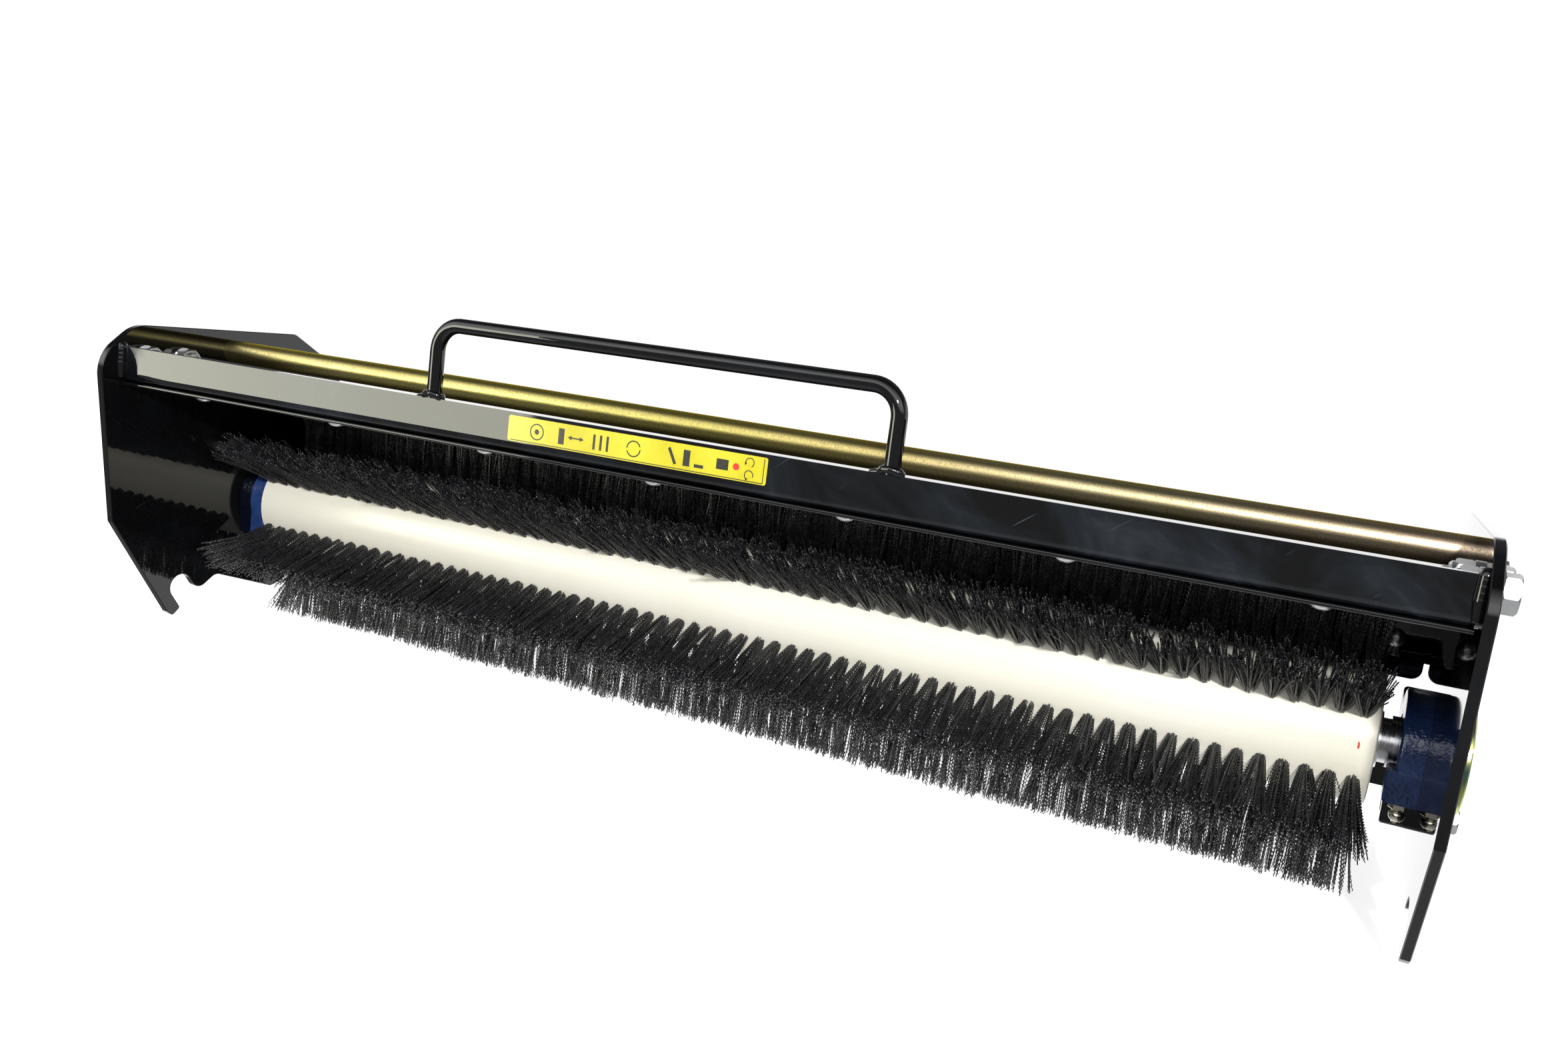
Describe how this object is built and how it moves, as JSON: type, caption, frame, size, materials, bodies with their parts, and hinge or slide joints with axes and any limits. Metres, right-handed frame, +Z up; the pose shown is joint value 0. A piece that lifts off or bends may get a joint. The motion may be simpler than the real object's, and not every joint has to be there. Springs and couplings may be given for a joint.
{
  "type": "rotary brush cassette",
  "caption": "Black folded-steel cassette with a carry handle and hood around a cream roller carrying straight rows of black crimped bristle, driven by a coupling disc at one end.",
  "frame": {"origin": "on the brush axis, half way between the side plates", "axes": "+X to the driven end, +Y to the rear, +Z up"},
  "size_m": [0.6699, 0.2127, 0.1944],
  "materials": {
    "black_powder_coat": "gloss black powder coat",
    "bright_zinc": "bright zinc plate",
    "yellow_zinc": "yellow passivated zinc",
    "blue_enamel": "gloss blue enamel over casting",
    "yellow_label": "gloss vinyl",
    "nickel_plate": "bright nickel",
    "seal_rubber": "matte",
    "bearing_steel": "ground and polished",
    "cage_steel": "pressed steel",
    "spring_steel": "blackened",
    "ground_steel": "ground",
    "cream_plastic": "satin moulded",
    "black_bristle": "crimped filament"
  },
  "bodies": {
    "frame": {"left_side_plate": "black_powder_coat", "right_side_plate": "black_powder_coat", "front_crossbar": "black_powder_coat", "carry_handle": "black_powder_coat", "handle_welds": "black_powder_coat", "crossbar_welds": "black_powder_coat", "front_label": "yellow_label", "rear_crossbar": "black_powder_coat", "stop_blocks": "black_powder_coat", "cover_post": "bright_zinc", "tie_tube": "yellow_zinc", "tie_rod": "bright_zinc", "tie_rod_washers": "bright_zinc", "tie_rod_nuts": "bright_zinc", "side_bolts": "bright_zinc", "side_bolt_washers": "bright_zinc", "side_bolt_nuts": "bright_zinc", "side_stud": "bright_zinc", "hood": "black_powder_coat", "hood_front_screws": "bright_zinc", "hood_front_nuts": "bright_zinc", "hood_tabs": "black_powder_coat", "hood_end_screws": "bright_zinc", "hood_end_nuts": "bright_zinc", "right_bearing_housing": "blue_enamel", "left_bearing_housing": "blue_enamel", "housing_screws": "bright_zinc", "housing_washers": "bright_zinc", "grease_nipples": "nickel_plate", "inner_seals": "seal_rubber", "bearing_outer_rings": "bearing_steel", "retaining_rings": "spring_steel", "right_shield": "seal_rubber", "left_end_cap": "yellow_zinc"},
    "brush": {"brush_shaft": "ground_steel", "brush_core": "cream_plastic", "core_plugs": "cream_plastic", "left_end_washer": "bright_zinc", "right_end_washer": "bright_zinc", "spacer_rings": "ground_steel", "bearing_inner_rings": "bearing_steel", "drive_coupling": "yellow_zinc", "drive_key": "ground_steel", "shaft_washer": "bright_zinc", "shaft_screw": "bright_zinc", "bristle_row_1": "black_bristle", "bristle_row_2": "black_bristle", "bristle_row_3": "black_bristle", "bristle_row_4": "black_bristle", "bristle_row_5": "black_bristle", "bristle_row_6": "black_bristle"},
    "left_cage": {"left_ball_cage": "cage_steel", "left_bearing_balls": "bearing_steel"},
    "right_cage": {"right_ball_cage": "cage_steel", "right_bearing_balls": "bearing_steel"}
  },
  "joints": [
    {"name": "brush_spin", "type": "hinge", "parent": "frame", "child": "brush", "pos_m": [0, 0, 0], "axis": [1, 0, 0], "continuous": true},
    {"name": "left_cage_spin", "type": "hinge", "parent": "frame", "child": "left_cage", "pos_m": [-0.317, 0, 0], "axis": [1, 0, 0], "continuous": true},
    {"name": "right_cage_spin", "type": "hinge", "parent": "frame", "child": "right_cage", "pos_m": [0.317, 0, 0], "axis": [1, 0, 0], "continuous": true}
  ],
  "couplings": [
    {"joint": "left_cage_spin", "follows": "brush_spin", "ratio": 0.4077},
    {"joint": "right_cage_spin", "follows": "brush_spin", "ratio": 0.4077}
  ]
}
